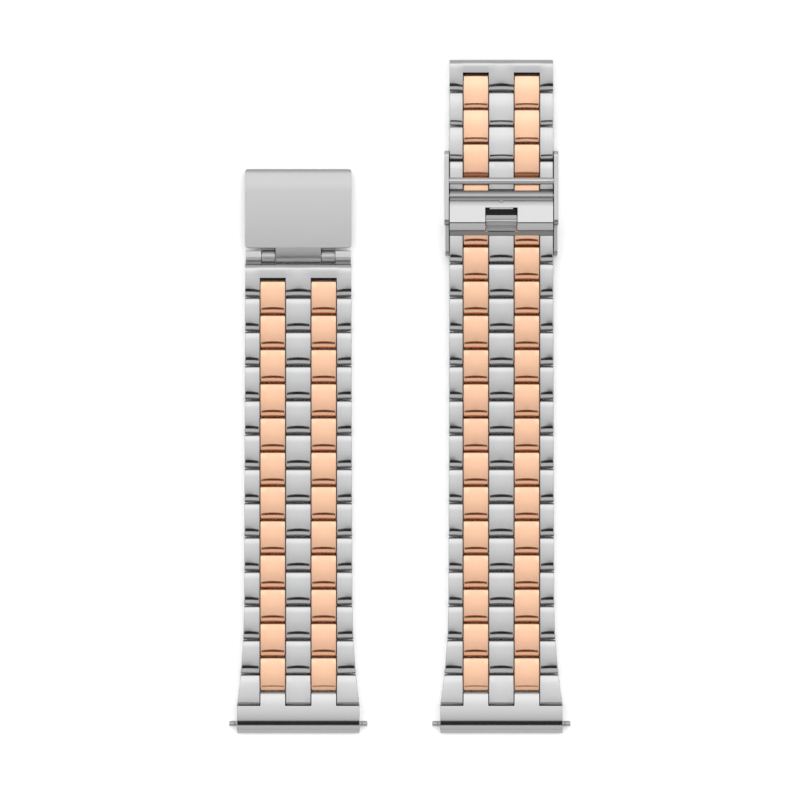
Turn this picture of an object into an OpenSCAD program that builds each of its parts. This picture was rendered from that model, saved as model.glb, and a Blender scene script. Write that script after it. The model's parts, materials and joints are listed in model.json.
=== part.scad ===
// Two-tone watch bracelet in two halves, laid flat side by side with the outer faces up.
// Steel and rose gold links stand in five columns, with the rose gold rows half a pitch out of step.
// The short half ends in a fold-over cover with a hook, and the long half carries the sliding clasp.
// X runs across the strap, Y runs from the end links at the watch to the clasp, and Z is up.

/* [Links] */
// Thickness of every link, which is also the diameter of its round end
link_t = 2.5; // [2:0.05:3.2]
// Rounding of the edges at a link's square end, which faces away from the watch
far_round = 0.4; // [0.3:0.05:0.6]
// Gap between two links in one column
link_gap = 0.24; // [0.2:0.01:0.5]
// Width of a rose gold link
rose_w = 3.98; // [3:0.02:5]
// Width of a centre link
mid_w = 3.98; // [3:0.02:5]
// Gap between two columns
seam = 0.1; // [0.05:0.01:0.2]
// How much higher a link's face is in its middle than at its long edges
crown = 0.16; // [0.06:0.01:0.25]
// Chamfer along a link's long edges
edge = 0.1; // [0.04:0.01:0.2]
// Diameter of the pins that join the links
pin_d = 1; // [0.8:0.05:1.2]
// Play of a pin in the links that turn on it, on the radius
pin_play = 0.05; // [0.03:0.01:0.08]
// Metal left over the blind end of a pin
pin_cover = 0.6; // [0.3:0.05:1]

/* [Strap] */
// Link units in the short half
short_rows = 12; // [6:1:13]
// Link units in the long half
long_rows = 18; // [17:1:19]
// Width of the short half where it meets its clasp end
short_w = 17; // [15.5:0.1:20.4]
// Width of the long half at the clasp and the tail
long_w = 16.6; // [15.5:0.1:20.4]
// Width of the end links, a little under the gap between the watch's lugs
lug_w = 19.6; // [16.4:0.1:24]
// How much each half has widened where its flare starts
taper = 0.3; // [0:0.05:0.6]
// Length over which the links flare out to the end link
flare_len = 17.3; // [10:0.1:22]
// Distance from the spring bar to the first hinge
first_hinge = 3.8; // [3.5:0.05:5]
// Distance between the centre lines of the two halves
halves_apart = 32.5; // [26:0.1:42]

/* [End links and spring bars] */
// Distance from the spring bar to the rounded end of the end link
end_reach = 1.54; // [1.3:0.02:2]
// Radius of the end link's top rounding
end_round = 2; // [1.5:0.05:2.4]
// Outer diameter of the spring bar's tube
tube_d = 1.5; // [1.3:0.05:1.6]
// Wall of that tube
tube_wall = 0.19; // [0.15:0.01:0.25]
// Diameter of the spring bar's tips
tip_d = 0.86; // [0.7:0.02:0.9]
// How far each tip stands out of the end link
tip_out = 1.25; // [0.8:0.05:1.6]
// Length of a plunger inside its tube
shank_l = 3; // [2:0.1:4]
// Wire of the spring between the plungers
wire_d = 0.16; // [0.12:0.01:0.2]
// Turns of that spring
coil_turns = 14; // [8:1:16]

/* [Clasp end and cover] */
// Length of the solid bar behind the slots of the clasp end and the tail end
clasp_bar_l = 2.25; // [1.6:0.05:3]
// Rounding of the bar's far edges
bar_round = 1; // [0.3:0.05:1]
// Radius of the cover's hinge knuckles
knuckle_r = 1.04; // [0.9:0.02:1.2]
// Width of the cover's middle knuckle
tongue_w = 7.3; // [5:0.1:9]
// Width of each of the hook's two knuckles
hook_knuckle_w = 2.1; // [1.2:0.1:2.6]
// Thickness of the cover
cover_t = 0.8; // [0.6:0.05:1]
// Length of the cover from its hinge to the curled end
cover_l = 14; // [11:0.1:17]
// Distance from the hinge to the cover's full width
cover_start = 1.33; // [1.3:0.01:1.8]
// Thickness of the hook
hook_t = 0.6; // [0.5:0.05:0.7]
// Distance from the hinge to the bar that the hook catches
hook_l = 4.6; // [3.6:0.1:5.6]

/* [Sliding clasp] */
// First link unit that the clasp grips
clasp_row = 14; // [8:1:14]
// Thickness of the clasp's base plate
plate_t = 0.45; // [0.4:0.05:0.8]
// Thickness of the clasp's side walls
wall_t = 0.7; // [0.5:0.05:1]
// Gap between the strap and each side wall
wall_gap = 0.12; // [0.1:0.01:0.3]
// Height of the side walls
wall_top = 5; // [4.8:0.05:6.5]
// Diameter of the crossbar
crossbar_d = 1.1; // [0.9:0.05:1.3]
// Distance from the lever's hinge to the crossbar
crossbar_off = 2.4; // [2:0.05:3]
// Length of the lever from its hinge to its tooth
lever_l = 5.07; // [4.4:0.01:6.2]
// Thickness of the lever
lever_t = 0.6; // [0.5:0.05:0.8]
// Width of the lever's window
window_w = 5.2; // [4:0.1:6.4]
// Diameter of the lever's hinge pin
lever_pin_d = 0.9; // [0.7:0.05:1.1]

/* [Hidden] */
$fn = 48;
link_r = link_t / 2;
pin_r = pin_d / 2;
press = 0.01;
// The pins stand one thickness and one gap apart, so that ends on neighbouring pins just clear
step = link_t + link_gap;
pitch = 2 * step;
rose_x = mid_w / 2 + seam + rose_w / 2;
outer_x = rose_x + rose_w / 2 + seam;

// End links: the round end of a link turns in a round pocket of the end link
pocket_r = link_r + 0.3;
bar_top = first_hinge - sqrt(pocket_r * pocket_r - link_r * link_r);
flare_end = bar_top + flare_len;
taper_end = first_hinge + pitch * short_rows;
bar_axis_z = link_r - 0.05;

// Spring bars
tube_r = tube_d / 2;
tube_fit = 0.05;
tube_half = lug_w / 2 - 0.1;
lip_t = 0.3;
shank_end = tube_half - lip_t - 0.02;
coil_half = shank_end - shank_l - 0.03;
coil_r = tube_r - tube_wall - 0.06 - wire_d / 2;
tip_groove = [0.3, 0.45];

// Clasp end
slot_y = link_r + 0.53;
bar_end = slot_y + clasp_bar_l;
cover_y = bar_end + 0.16 + knuckle_r;
hinge_gap = 0.1;
short_hinge = short_rows + 1;
tail_hinge = long_rows + 1;

// The clasp's base plate lifts the links that it grips. The units before it slope up, and those
// from it to the tail slope down.
clasp_rows = 3;
plate_gap = 0.05;
lift = plate_t + plate_gap;
last_row = clasp_row + clasp_rows;
up_rows = 6;
down_rows = long_rows - last_row + 1;
up_slope = asin(lift / (pitch * up_rows));
down_slope = asin(lift / (pitch * down_rows));
strap_top = lift + link_t;

// Clasp lengths are measured along Y from the hinge of the first unit that the clasp grips
wall_start = -0.1;
wall_end = clasp_rows * pitch + 0.16;
// The lever's tooth lies between a square end and the next round end, nearer to the round one
tooth_r = 0.3;
tooth_y = pitch - step / 2 + 0.22;
lever_y = tooth_y + lever_l;
lever_r = 0.88;
lever_z = strap_top + 0.12 + lever_r;
lever_top = lever_z + 0.4;
crossbar_y = lever_y + crossbar_off;
crossbar_z = lever_z + 0.1;
inner_w = long_w + 2 * wall_gap;
outer_w = inner_w + 2 * wall_t;
wall_step = tooth_y + 0.4;
wall_low = strap_top + 0.6;

tail_top = long_y(tail_hinge) + bar_end - 0.18;
mid_y = (tail_top - end_reach) / 2;

STEEL = [0.78, 0.78, 0.79];
BRUSHED = [0.68, 0.68, 0.69];
ROSE = [0.93, 0.7, 0.55];
DARK = [0.5, 0.5, 0.52];

function link_name(half, k) = str(half, "_link_", k < 10 ? "0" : "", k);

// Where the hinge of unit k lies in each half, and how the unit slopes
function rows_up(k) = min(up_rows, max(0, k - clasp_row + up_rows));
function rows_down(k) = max(0, k - last_row);
function short_y(k) = first_hinge + pitch * (k - 1);
function long_y(k) = first_hinge + pitch * (k - 1)
    - pitch * (1 - cos(up_slope)) * rows_up(k)
    - pitch * (1 - cos(down_slope)) * rows_down(k);
function long_z(k) = link_r + lift * (rows_up(k) / up_rows - rows_down(k) / down_rows);
function long_slope(k) = k >= last_row ? -down_slope : k >= clasp_row ? 0 : rows_up(k + 1) > 0 ? up_slope : 0;

// Width of a half at a distance s from its spring bar, from its width w at the clasp
function strap_w(w, s) = w
    + taper * min(1, max(0, (taper_end - s) / (taper_end - flare_end)))
    + (lug_w - w - taper) * pow(min(1, max(0, (flare_end - s) / flare_len)), 2);

// The profile in the YZ plane, drawn as XY, carried across the strap
module across(w) {
    rotate([90, 0, 90]) linear_extrude(w, center = true) children();
}

// The profile in the XZ plane, drawn as XY, carried along the strap
module along(l) {
    rotate([90, 0, 0]) linear_extrude(l, center = true) children();
}

// A rod along X from x0 to x1
module rod(r, x0, x1) {
    translate([x0, 0, 0]) rotate([0, 90, 0]) cylinder(r = r, h = x1 - x0);
}

module both_sides() {
    children();
    mirror([1, 0, 0]) children();
}

module short_half() {
    translate([-halves_apart / 2, -mid_y, 0]) children();
}

module long_half() {
    translate([halves_apart / 2, -mid_y, 0]) children();
}

// Side view of a bar as thick as a link, from the origin to l, with its far corners rounded
module block_side(l, r) {
    translate([0, -link_r]) square([l - r, link_t]);
    translate([0, r - link_r]) square([l, link_t - 2 * r]);
    for (z = [r - link_r, link_r - r])
        translate([l - r, z]) circle(r);
}

// Side view of a link: round about its first pin, square past its second
module link_side() {
    circle(link_r);
    block_side(step + link_r, far_round);
}

// Cross-section of a link: crowned face, flat back, eased long edges
module link_section(w) {
    bow_r = (w * w / 4 + crown * crown) / (2 * crown);
    drop = crown + edge;
    intersection() {
        polygon([
            [-w / 2, -link_r + edge], [-w / 2 + edge, -link_r],
            [w / 2 - edge, -link_r], [w / 2, -link_r + edge],
            [w / 2, link_r - drop], [w / 2 - drop, link_r],
            [-w / 2 + drop, link_r], [-w / 2, link_r - drop]]);
        translate([0, link_r - bow_r]) circle(bow_r);
    }
}

// One link with its first pin on the X axis and its second one step further along Y
module link(w) {
    intersection() {
        across(w) link_side();
        translate([0, step / 2, 0]) along(step + 2 * link_t) link_section(w);
    }
}

// An outer link, whose outer side runs from half width near_w to half width far_w
module outer_link(near_w, far_w) {
    w = max(near_w, far_w) - outer_x;
    intersection() {
        translate([outer_x + w / 2, 0, 0]) link(w);
        linear_extrude(2 * link_t, center = true)
            polygon([[outer_x - seam, -link_r], [near_w, -link_r],
                     [far_w, step + link_r], [outer_x - seam, step + link_r]]);
    }
}

// Three steel links side by side. s is the distance of their hinge from the spring bar.
module steel_row(w, s) {
    flared = s - link_r < flare_end;
    near_w = strap_w(w, flared ? s - link_r : s + step / 2) / 2;
    far_w = strap_w(w, flared ? s + step + link_r : s + step / 2) / 2;
    color(STEEL) difference() {
        union() {
            link(mid_w);
            both_sides() outer_link(near_w, far_w);
        }
        for (pin = [0, 1])
            translate([0, pin * step, 0])
                rod(pin_r + press, press - strap_w(w, s + pin * step) / 2 + pin_cover - 0.05, lug_w);
    }
}

// Two rose gold links. The first pin is pressed in, and they turn on the second.
module rose_row() {
    color(ROSE) difference() {
        both_sides() translate([rose_x, 0, 0]) link(rose_w);
        rod(pin_r + press, -lug_w, lug_w);
        translate([0, step, 0]) rod(pin_r + pin_play, -lug_w, lug_w);
    }
}

// A pin that is blind at its left end and shows at its right end
module link_pin(w) {
    color(DARK) rod(pin_r, pin_cover - w / 2, w / 2 - 0.1);
}

module link_unit(w, s) {
    steel_row(w, s);
    translate([0, step, 0]) rose_row();
    link_pin(strap_w(w, s));
    translate([0, step, 0]) link_pin(strap_w(w, s + step));
}

module short_link(k) {
    short_half() translate([0, short_y(k), link_r]) link_unit(short_w, short_y(k));
}

module long_link(k) {
    long_half() translate([0, long_y(k), long_z(k)]) rotate([long_slope(k), 0, 0])
        link_unit(long_w, long_y(k));
}

// Side view of an end link: rolled over the spring bar, with fingers round the first hinge
module end_link_side() {
    top_r = min(end_round, link_t - 0.2);
    low_r = link_t - top_r;
    top_y = top_r - end_reach;
    intersection() {
        translate([top_y, low_r]) circle(top_r);
        translate([-end_reach, low_r]) square([top_r, top_r]);
    }
    translate([low_r - end_reach, low_r]) circle(low_r);
    translate([low_r - end_reach, 0]) square([top_r - low_r, low_r]);
    translate([top_y, link_r]) block_side(first_hinge + link_r - top_y, far_round);
}

// The pocket for a steel link's round end, open towards the strap
module end_pocket(w) {
    across(w) translate([first_hinge, link_r]) {
        circle(pocket_r);
        translate([0, -link_t]) square([link_t, 2 * link_t]);
    }
}

module end_link() {
    pocket_x = outer_x - seam;
    color(STEEL) difference() {
        across(lug_w) end_link_side();
        end_pocket(mid_w + 2 * seam);
        both_sides() translate([pocket_x + lug_w / 2, 0, 0]) end_pocket(lug_w);
        translate([0, first_hinge, link_r]) rod(pin_r + pin_play, -lug_w, lug_w);
        translate([0, 0, bar_axis_z]) rod(tube_r + tube_fit, -lug_w, lug_w);
    }
}

// Spring bar tube, with a lip at each end that keeps its plunger in
module bar_tube() {
    color(DARK) translate([0, 0, bar_axis_z]) difference() {
        rod(tube_r, -tube_half, tube_half);
        rod(tube_r - tube_wall, lip_t - tube_half, tube_half - lip_t);
        rod(tip_d / 2 + 0.04, -lug_w, lug_w);
    }
}

// Right-hand plunger, turned in one piece: a shank in the tube, a neck that tapers a little on its way
// out, and a tip with a V groove and a chamfered end
module bar_plunger() {
    tip_r = tip_d / 2;
    neck_r = tip_r + 0.015;
    shank_r = tube_r - tube_wall - 0.04;
    shank_start = shank_end - shank_l;
    face = lug_w / 2;
    groove_mid = (tip_groove[0] + tip_groove[1]) / 2;
    chamfer = 0.1;
    color(STEEL) translate([0, 0, bar_axis_z]) rotate([0, 90, 0]) rotate_extrude()
        polygon([
            [0, shank_start], [shank_r, shank_start], [shank_r, shank_end], [neck_r, shank_end],
            [tip_r, face + tip_groove[0]], [tip_r - 0.1, face + groove_mid], [tip_r, face + tip_groove[1]],
            [tip_r, face + tip_out - chamfer], [tip_r - chamfer, face + tip_out], [0, face + tip_out]]);
}

// The spring between the plungers: one tube of six sides along a helix
coil_rings = 8 * coil_turns;
function coil_at(i) = [coil_half * (2 * i / coil_rings - 1), coil_r, 45 * i];
function coil_point(c, b) = [
    c[0] + wire_d / 2 * sin(b),
    (c[1] + wire_d / 2 * cos(b)) * cos(c[2]),
    (c[1] + wire_d / 2 * cos(b)) * sin(c[2])];

module bar_spring() {
    points = [for (i = [0:coil_rings]) for (j = [0:5]) coil_point(coil_at(i), 60 * j)];
    sides = [for (i = [0:coil_rings - 1]) for (j = [0:5])
        let (a = 6 * i + j, b = 6 * i + (j + 1) % 6)
        each [[a, b, b + 6], [a, b + 6, a + 6]]];
    last = 6 * coil_rings;
    caps = [for (j = [1:4]) each [[0, j + 1, j], [last, last + j, last + j + 1]]];
    color(DARK) translate([0, 0, bar_axis_z]) polyhedron(points, concat(sides, caps));
}

// Least gap between two turns of the spring, measured from centre to centre of its rings
function ring_centre(i) = coil_point([coil_at(i)[0], coil_at(i)[1] - wire_d / 2, coil_at(i)[2]], 0);
echo(spring_gap = min([for (i = [0:coil_rings]) for (j = [i + 5:1:min(i + 11, coil_rings)])
    norm(ring_centre(i) - ring_centre(j))]) - wire_d);

// Side view of the bar that ends a half, with fingers round its hinge at the origin
module bar_side(l) {
    circle(link_r);
    block_side(l, min(bar_round, link_r - 0.1));
}

// A bar with two slots that take the last rose gold links
module slotted_bar(w, l) {
    difference() {
        across(w) bar_side(l);
        both_sides() translate([rose_x - rose_w / 2 - seam, -2 * link_t, -link_t])
            cube([rose_w + 2 * seam, 2 * link_t + slot_y, 2 * link_t]);
        rod(pin_r + press, press - w / 2 + pin_cover - 0.05, lug_w);
    }
}

// Ends of the cover hinge's outer knuckles, from the widths of what lies between them
ear_x = tongue_w / 2 + 2 * hinge_gap + hook_knuckle_w;

module clasp_end_link() {
    w = short_w;
    color(STEEL) short_half() translate([0, short_y(short_hinge), link_r]) difference() {
        union() {
            slotted_bar(w, bar_end);
            both_sides() translate([(ear_x + w / 2 - 0.1) / 2, 0, 0]) across(w / 2 - 0.1 - ear_x) {
                translate([cover_y, 0]) circle(knuckle_r);
                translate([bar_end - bar_round - 0.1, 0.3 - knuckle_r])
                    square([cover_y - bar_end + bar_round + 0.1, knuckle_r + 0.1]);
            }
        }
        translate([0, cover_y, 0]) rod(pin_r + press, pin_cover - w / 2 - 0.05, lug_w);
    }
    short_half() translate([0, short_y(short_hinge), link_r]) link_pin(w);
}

module cover_pin() {
    color(DARK) short_half() translate([0, short_y(short_hinge) + cover_y, link_r])
        rod(pin_r, pin_cover - short_w / 2, short_w / 2 - 0.2);
}

// A band of a ring, from angle a0 to angle a1 measured from straight up towards +X
module arc_band(r, t, a0, a1) {
    intersection() {
        difference() {
            circle(r);
            circle(r - t);
        }
        polygon([[0, 0], [2 * r * sin(a0), 2 * r * cos(a0)], [2 * r * sin(a1), 2 * r * cos(a1)]]);
    }
}

// Side view of the cover from its hinge: flat, then bowed, then curled down
bow_r = 8;
bow_a = 18;
curl_r = 1.2;
curl_y = cover_l - curl_r;
flat_l = curl_y - (bow_r - curl_r) * sin(bow_a);

module cover_side() {
    curl_z = knuckle_r - bow_r + (bow_r - curl_r) * cos(bow_a);
    translate([0, knuckle_r - cover_t]) square([flat_l, cover_t]);
    translate([flat_l, knuckle_r - bow_r]) arc_band(bow_r, cover_t, 0, bow_a);
    translate([curl_y, curl_z]) arc_band(curl_r, cover_t, bow_a, 90);
    translate([cover_l - cover_t, 0.1 - link_r]) square([cover_t, curl_z + link_r - 0.1]);
}

// The cover seen from above: a plate with rounded corners
module cover_plan() {
    r = 0.45;
    l = cover_l - cover_start;
    translate([-short_w / 2, cover_start + r]) square([short_w, l - 2 * r]);
    translate([r - short_w / 2, cover_start]) square([short_w - 2 * r, l]);
    for (x = [r - short_w / 2, short_w / 2 - r], y = [cover_start + r, cover_l - r])
        translate([x, y]) circle(r);
}

module clasp_cover() {
    color(BRUSHED) short_half() translate([0, short_y(short_hinge) + cover_y, link_r]) difference() {
        union() {
            intersection() {
                across(short_w) cover_side();
                linear_extrude(3 * link_t, center = true) cover_plan();
            }
            across(tongue_w) {
                circle(knuckle_r);
                translate([0, knuckle_r - cover_t]) square([cover_start + 0.5, cover_t]);
            }
        }
        rod(pin_r + pin_play, -lug_w, lug_w);
    }
}

// The hook under the cover. Its curled tip catches the crossbar of the sliding clasp.
module clasp_hook() {
    hook_top = knuckle_r - cover_t - 0.19;
    curl = crossbar_d / 2 + 0.05 + hook_t;
    knuckle_x = tongue_w / 2 + hinge_gap;
    start_y = knuckle_r + 0.2;
    w = 2 * (knuckle_x + hook_knuckle_w);
    color(STEEL) short_half() translate([0, short_y(short_hinge) + cover_y, link_r]) difference() {
        union() {
            both_sides() translate([knuckle_x + hook_knuckle_w / 2, 0, 0]) across(hook_knuckle_w) {
                circle(knuckle_r - 0.04);
                translate([0, hook_top - hook_t]) square([start_y + 0.5, hook_t]);
            }
            across(w) {
                translate([start_y, hook_top - hook_t]) square([hook_l - start_y, hook_t]);
                translate([hook_l, hook_top - curl]) arc_band(curl, hook_t, 0, 90);
            }
        }
        rod(pin_r + pin_play, -lug_w, lug_w);
    }
}

module tail_end_link() {
    l = bar_end - 0.18;
    long_half() translate([0, long_y(tail_hinge), link_r]) {
        color(STEEL) slotted_bar(long_w, l);
        link_pin(long_w);
    }
}

// Children drawn from the hinge of the first unit in the clasp, with z from the ground
module on_clasp() {
    long_half() translate([0, long_y(clasp_row), 0]) children();
}

// A block from y0 to y1 and up to z1, with its top corners rounded
module wall_block(y0, y1, z1, r) {
    translate([y0, 0]) square([y1 - y0, z1 - r]);
    translate([y0 + r, 0]) square([y1 - y0 - 2 * r, z1]);
    for (y = [y0 + r, y1 - r])
        translate([y, z1 - r]) circle(r);
}

// Side walls and base plate of the clasp, bent from one sheet
module clasp_frame() {
    low_t = wall_t - 0.15;
    bend_r = 0.4;
    plate_l = wall_end - wall_start - 2.3;
    color(STEEL) on_clasp() difference() {
        union() {
            both_sides() {
                translate([inner_w / 2 + wall_t / 2, 0, 0]) across(wall_t)
                    wall_block(wall_step, wall_end, wall_top, 0.9);
                translate([inner_w / 2 + low_t / 2, 0, 0]) across(low_t)
                    wall_block(wall_start, wall_step + 2, wall_low, 0.7);
            }
            translate([-inner_w / 2 - 0.2, wall_start + 1.3, 0]) cube([inner_w + 0.4, plate_l, plate_t]);
        }
        both_sides() translate([outer_w / 2, 0, 0]) along(3 * wall_end) difference() {
            translate([-bend_r, -0.1]) square([bend_r + 0.1, bend_r + 0.1]);
            translate([-bend_r, bend_r]) circle(bend_r);
        }
        translate([0, crossbar_y, crossbar_z]) rod(crossbar_d / 2 - 0.2 + press, -outer_w, outer_w);
        translate([0, lever_y, lever_z]) rod(lever_pin_d / 2 + press, -outer_w, outer_w);
    }
}

// The crossbar, with a thinner spigot in each side wall
module crossbar() {
    color(STEEL) on_clasp() translate([0, crossbar_y, crossbar_z]) {
        rod(crossbar_d / 2, 0.02 - inner_w / 2, inner_w / 2 - 0.02);
        rod(crossbar_d / 2 - 0.2, 0.05 - outer_w / 2, outer_w / 2 - 0.05);
    }
}

module lever_pin() {
    color(DARK) on_clasp() translate([0, lever_y, lever_z])
        rod(lever_pin_d / 2, 0.05 - outer_w / 2, outer_w / 2 - 0.05);
}

// Side view of the lever, drawn from its hinge with Y to the left: barrel, plate, bowed end
lever_bow_r = 3.2;
lever_bow_a = 38;
lever_flat = lever_l - 0.86;

module lever_side() {
    top = lever_top - lever_z;
    circle(lever_r);
    translate([-lever_flat, top - lever_t]) square([lever_flat, lever_t]);
    translate([-lever_flat, top - lever_bow_r]) {
        arc_band(lever_bow_r, lever_t, -lever_bow_a, 0);
        rotate(lever_bow_a) translate([0, lever_bow_r - lever_t / 2]) circle(lever_t / 2);
    }
}

// The lever seen from above its hinge, with rounded corners at the barrel
module lever_plan(w) {
    r = 0.5;
    translate([-w / 2, -2 * lever_l]) square([w, 2 * lever_l + lever_r - r]);
    translate([r - w / 2, 0]) square([w - 2 * r, lever_r]);
    for (x = [r - w / 2, w / 2 - r])
        translate([x, lever_r - r]) circle(r);
}

// Side view of the tongue in the lever's window, drawn from above the tooth: a flat foot with a
// ledge across it, then two steps that bend up towards the barrel
tongue_t = 0.4;

module tongue_side() {
    translate([-0.9, -tongue_t]) square([2.3, tongue_t]);
    translate([0.97, -0.1]) square([0.32, 0.35]);
    translate([1.32, -tongue_t]) rotate(30) square([0.95, tongue_t]);
    translate([2.05, 0.03]) rotate(14) square([1.05, tongue_t]);
}

// The locking lever. Its tooth drops into the groove between two rows of links.
module lock_lever() {
    w = inner_w - 0.3;
    // The window runs from behind the barrel through the bowed end, and the tongue lies lower in it
    window = [-lever_l - 0.66, 3.88];
    tongue_z = strap_top + 0.5 - lever_z;
    color(STEEL) on_clasp() translate([0, lever_y, lever_z]) difference() {
        union() {
            difference() {
                intersection() {
                    across(w) lever_side();
                    linear_extrude(4 * lever_r, center = true) lever_plan(w);
                }
                translate([-window_w / 2, window[0], -lever_top])
                    cube([window_w, window[1], 2 * lever_top]);
            }
            across(window_w - 0.3) translate([-lever_l, tongue_z]) tongue_side();
            across(mid_w - 1) {
                translate([-lever_l, strap_top - lever_z]) circle(tooth_r);
                translate([-lever_l - tooth_r, strap_top - lever_z])
                    square([2 * tooth_r, tongue_z - strap_top + lever_z - tongue_t / 2]);
            }
            translate([0, -lever_r, lever_top - lever_z]) sphere(0.3);
        }
        rod(lever_pin_d / 2 + pin_play, -outer_w, outer_w);
    }
}

short_half() end_link();  // short_end_link
short_half() bar_tube();  // short_bar_tube
short_half() bar_spring();  // short_bar_spring
short_half() mirror([1, 0, 0]) bar_plunger();  // short_bar_plunger_left
short_half() bar_plunger();  // short_bar_plunger_right
for (k = [1:short_rows])
    short_link(k);
clasp_end_link();
cover_pin();
clasp_cover();
clasp_hook();
long_half() end_link();  // long_end_link
long_half() bar_tube();  // long_bar_tube
long_half() bar_spring();  // long_bar_spring
long_half() mirror([1, 0, 0]) bar_plunger();  // long_bar_plunger_left
long_half() bar_plunger();  // long_bar_plunger_right
for (k = [1:long_rows])
    long_link(k);
tail_end_link();
clasp_frame();
crossbar();
lever_pin();
lock_lever();
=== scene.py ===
# %% [markdown]
# This notebook dresses a two-tone watch strap: two halves laid flat, seen from straight above. The
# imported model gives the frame. Its pieces are at their places, so each piece made here is drawn where
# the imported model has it, and nothing has to be fitted afterwards.

# %% Load the frame
import json
import math

import bmesh
import bpy
from mathutils import Matrix, Vector


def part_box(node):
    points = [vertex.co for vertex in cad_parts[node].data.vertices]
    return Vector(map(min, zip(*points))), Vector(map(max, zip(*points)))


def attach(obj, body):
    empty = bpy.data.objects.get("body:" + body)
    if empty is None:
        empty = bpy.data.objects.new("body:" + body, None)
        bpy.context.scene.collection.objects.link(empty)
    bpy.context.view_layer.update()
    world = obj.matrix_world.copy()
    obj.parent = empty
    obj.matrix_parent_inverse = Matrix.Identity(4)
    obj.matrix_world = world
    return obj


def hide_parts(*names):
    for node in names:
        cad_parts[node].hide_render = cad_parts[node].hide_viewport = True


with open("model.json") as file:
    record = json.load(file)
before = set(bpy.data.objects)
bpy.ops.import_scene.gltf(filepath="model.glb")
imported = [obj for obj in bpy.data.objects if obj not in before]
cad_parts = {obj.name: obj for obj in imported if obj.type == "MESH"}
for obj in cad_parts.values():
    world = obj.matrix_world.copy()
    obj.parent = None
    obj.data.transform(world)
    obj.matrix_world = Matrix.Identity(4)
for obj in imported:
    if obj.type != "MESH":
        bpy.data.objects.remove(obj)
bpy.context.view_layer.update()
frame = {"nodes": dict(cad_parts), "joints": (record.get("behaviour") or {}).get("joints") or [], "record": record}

MM = 0.001

# %% [markdown]
# The camera stands where the photographer's did: straight above and far away, because the picture
# shows the tops of the links alone, and the same dark crescent at every row. An orthographic camera
# could do that too, but a long lens four metres up is closer to the real one. 800 pixels span 128 mm
# at the height of the links' faces.

# %% Camera
PICTURE_W = 128.0
CAMERA_UP = 4000.0
SENSOR_W = 36.0
PICTURE_X, PICTURE_Y = 0.03, -0.575
LINK_T = 2.5

camera_data = bpy.data.cameras.new("camera")
camera_data.sensor_width = SENSOR_W
camera_data.lens = SENSOR_W * CAMERA_UP / PICTURE_W
camera = bpy.data.objects.new("camera", camera_data)
camera.location = Vector((PICTURE_X, PICTURE_Y, CAMERA_UP + LINK_T)) * MM
bpy.context.scene.collection.objects.link(camera)
bpy.context.scene.camera = camera
bpy.context.scene.view_settings.view_transform = "Standard"
print("lens", camera_data.lens, "mm")

# %% [markdown]
# Materials and the sky are node trees. They could be wired by hand, node by node, but node maths
# reads best as plain sums. So Signal wraps one socket, and each sum or product of signals adds its
# Math node. Nodes is a small workbench that places any other node.

# %% Helpers for shader nodes
class Signal:
    """One output socket that can be added, subtracted, multiplied and divided."""

    def __init__(self, bench, socket):
        self.bench, self.socket = bench, socket

    def math(self, operation, *others, clamp=False):
        return self.bench.node("ShaderNodeMath", {"operation": operation, "use_clamp": clamp},
                               dict(enumerate((self, *others))))["Value"]

    def __add__(self, other):
        return self.math("ADD", other)

    def __sub__(self, other):
        return self.math("SUBTRACT", other)

    def __rsub__(self, other):
        return (self * -1) + other

    def __mul__(self, other):
        return self.math("MULTIPLY", other)

    def __truediv__(self, other):
        return self.math("DIVIDE", other)

    __radd__, __rmul__ = __add__, __mul__

    def clamped(self):
        return self.math("ADD", 0.0, clamp=True)


class Nodes:
    """An emptied node tree, and a method that adds a node with its settings and inputs."""

    def __init__(self, owner):
        owner.use_nodes = True
        self.tree = owner.node_tree
        self.tree.nodes.clear()

    def node(self, kind, settings=None, inputs=None):
        made = self.tree.nodes.new(kind)
        for name, value in (settings or {}).items():
            if name == "stops":
                self.set_stops(made.color_ramp.elements, value)
            else:
                setattr(made, name, value)
        for name, value in (inputs or {}).items():
            socket = made.inputs[name]
            if isinstance(value, Signal):
                self.tree.links.new(value.socket, socket)
            else:
                socket.default_value = value
        return {out.name: Signal(self, out) for out in made.outputs if out.enabled}

    def set_stops(self, elements, stops):
        """Gives a ramp a grey stop for each place and tone, two or more."""
        for i, (place, tone) in enumerate(stops):
            stop = elements[i] if i < len(elements) else elements.new(place)
            stop.position = place
            stop.color = (tone, tone, tone, 1)


# %% [markdown]
# Polished metal shows its surroundings. The photographed links have a bright face, a black crescent
# where they start to roll over towards the watch, and a grey strip below it. Area lamps and real cards
# would give the same, but their edges are hard to place, and they would stand in other views. So the
# studio is a sky, worked out from each direction's lean towards the clasp and its slope to the side.
# It is bright overhead, black in a lens-shaped patch on the watch side, like the black card of a
# product photographer, and grey down to the horizon. The camera itself sees plain white.

# %% Studio sky
CARD_START, CARD_END = 7.0, 49.0
CARD_SOFT = 3.0
CARD_LENS = 190.0
CARD_TONE = 0.02
LEAN_STOPS = [(-90, 0.70), (-60, 0.80), (-49, 0.84), (-7, 0.81), (-1, 1.0), (2, 1.12), (6, 1.15), (9, 1.25),
              (14, 1.53), (26, 1.5), (36, 1.0), (50, 0.72), (90, 0.6)]
LEAN_TOP = 1.6
SIDE_FALL, SIDE_FALL_MOST = 0.18, 0.9
HORIZON = 0.02

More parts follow.
